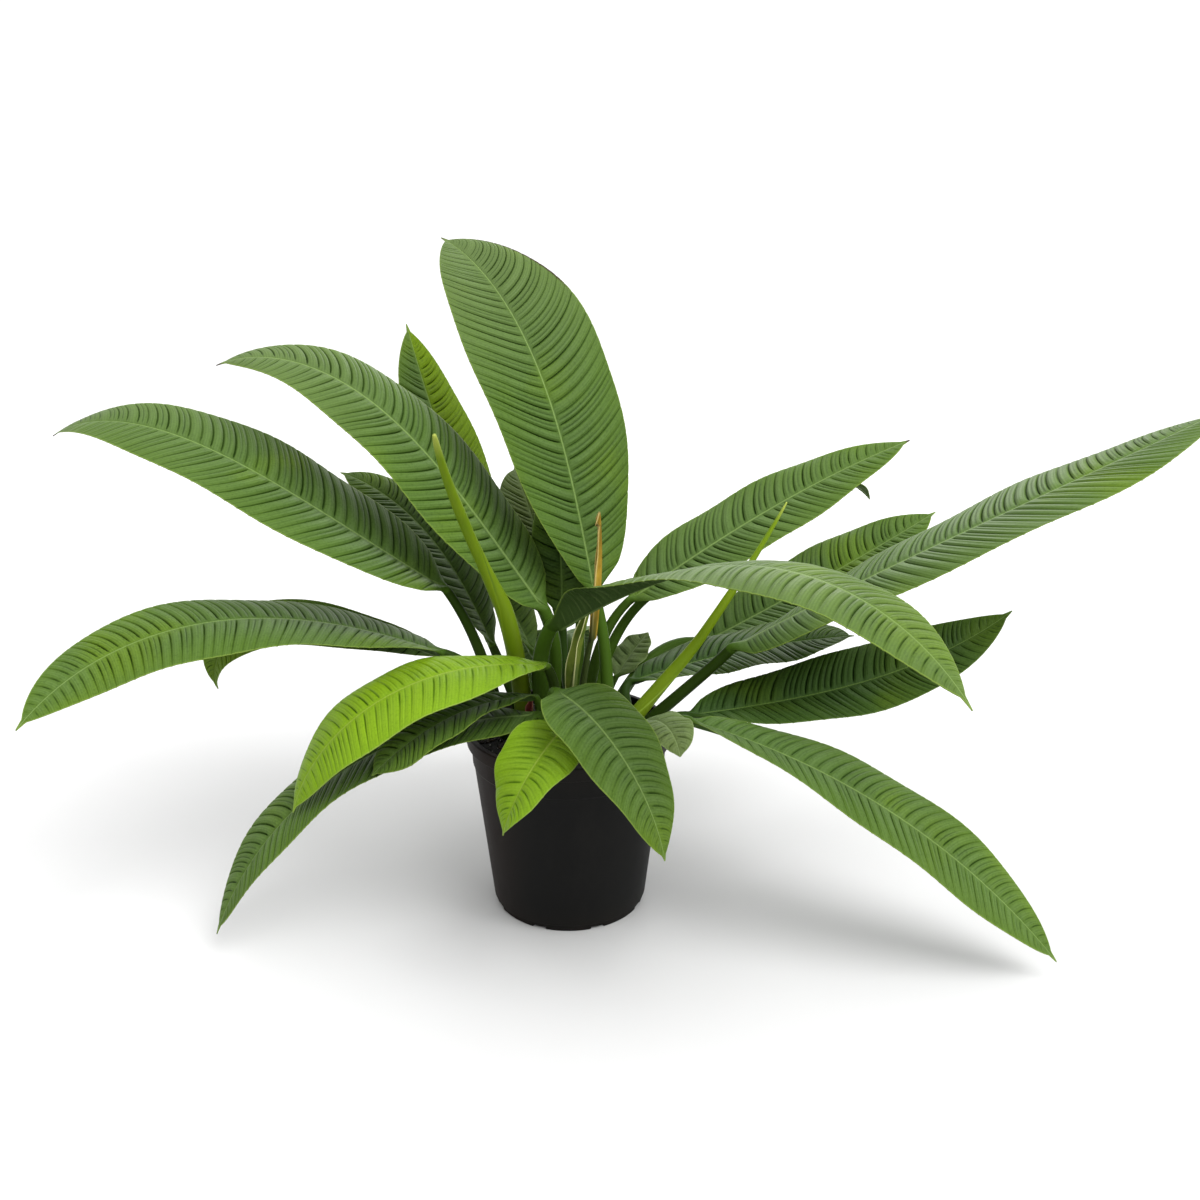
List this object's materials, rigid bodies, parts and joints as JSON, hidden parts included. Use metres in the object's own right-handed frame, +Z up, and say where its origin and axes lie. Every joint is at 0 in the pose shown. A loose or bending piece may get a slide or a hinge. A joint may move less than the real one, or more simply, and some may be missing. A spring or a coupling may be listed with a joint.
{
  "type": "potted philodendron",
  "caption": "Philodendron with long, deeply pleated strap leaves arching all round from a round black nursery pot filled with potting mix.",
  "frame": {"origin": "centre of the pot's flat underside, on the surface that it stands on", "axes": "+Z up, along the pot's axis; -Y towards the front of the plant, +X to its right seen from the front"},
  "size_m": [1.121, 0.671, 0.6528],
  "materials": {
    "pot_plastic": "matte black moulded plastic",
    "potting_mix": "dark crumbly potting mix of bark and peat with white perlite",
    "leaf_green": "mid-green leaf, satin above, paler below, with sunken pale veins",
    "leaf_young": "yellow-green young leaf, satin",
    "leaf_deep": "deep-green leaf, satin, with sunken pale veins",
    "spear_green": "smooth yellow-green rolled leaf, satin",
    "sheath_dry": "dry papery sheath, orange-brown",
    "sheath_pale": "papery sheath, pale yellow-green",
    "sheath_red": "papery sheath, dark red"
  },
  "bodies": {
    "root": {"pot": "pot_plastic", "soil": "potting_mix", "leaf_tall": "leaf_green", "leaf_left_high": "leaf_green", "leaf_left_back": "leaf_green", "leaf_left_middle": "leaf_green", "leaf_left_rear": "leaf_green", "leaf_left_low": "leaf_green", "leaf_left_under": "leaf_green", "leaf_front_left": "leaf_young", "leaf_front_left_under": "leaf_green", "leaf_floor_left": "leaf_green", "leaf_front": "leaf_green", "leaf_front_small": "leaf_young", "leaf_curled": "leaf_green", "leaf_floor_right": "leaf_green", "leaf_right_low": "leaf_deep", "leaf_right_inner": "leaf_deep", "leaf_right_long": "leaf_green", "leaf_right_rear": "leaf_green", "leaf_right_high": "leaf_green", "leaf_front_arch": "leaf_green", "leaf_back_inner": "leaf_green", "leaf_dark_inner": "leaf_deep", "leaf_small_back": "leaf_green", "leaf_back_right": "leaf_green", "leaf_back_high": "leaf_green", "leaf_back_low": "leaf_green", "spear_left": "spear_green", "spear_right": "spear_green", "sheath_dry": "sheath_dry", "sheath_pale": "sheath_pale", "sheath_red": "sheath_red"}
  },
  "joints": []
}
